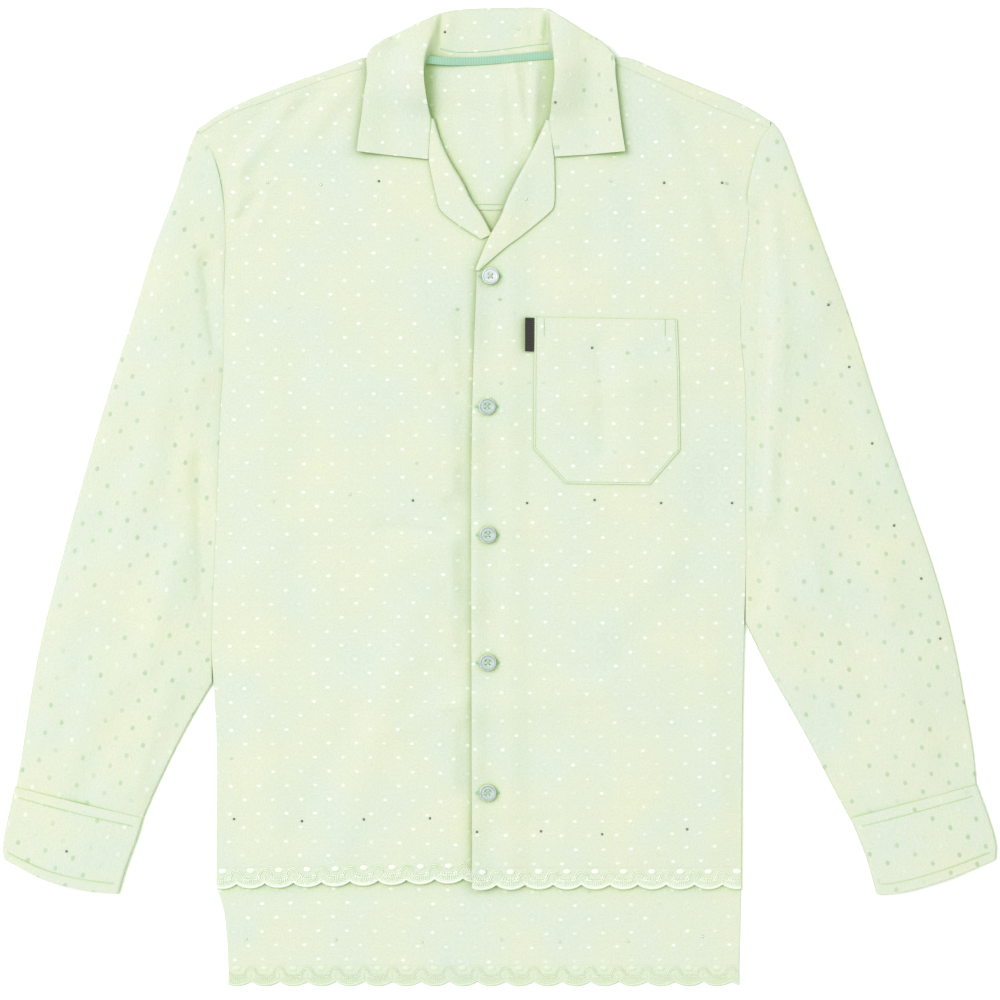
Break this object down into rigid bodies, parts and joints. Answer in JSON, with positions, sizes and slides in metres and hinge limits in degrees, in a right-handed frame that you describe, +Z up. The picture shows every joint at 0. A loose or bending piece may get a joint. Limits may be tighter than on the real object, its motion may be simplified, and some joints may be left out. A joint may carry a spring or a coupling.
{
  "type": "lace-trimmed shirt laid flat",
  "caption": "Long-sleeved shirt laid flat and buttoned, with notched camp collar, chest pocket, longer back and scalloped lace hems.",
  "frame": {"origin": "on the surface it lies on, under the middle of the whole shirt", "axes": "+X towards the sleeve on the right of someone looking down at it, +Y towards the collar, +Z up off the surface"},
  "size_m": [0.8138, 0.8036, 0.0176],
  "materials": {
    "cloth": "pale green jacquard with small woven dots",
    "lace": "embroidered scalloped edging",
    "tape": "mint neck tape",
    "button": "pearly grey-blue",
    "tab": "plain dark woven tab"
  },
  "bodies": {
    "root": {"back": "cloth", "yoke": "cloth", "front_right": "cloth", "front_left": "cloth", "lapel_right": "cloth", "lapel_left": "cloth", "collar": "cloth", "neck_tape": "tape", "sleeve_right": "cloth", "sleeve_left": "cloth", "cuff_right": "cloth", "cuff_left": "cloth", "pocket": "cloth", "side_label": "tab", "button_1": "button", "button_2": "button", "button_3": "button", "button_4": "button", "button_5": "button", "lace_front_right": "lace", "lace_front_left": "lace", "lace_back": "lace"}
  },
  "joints": []
}
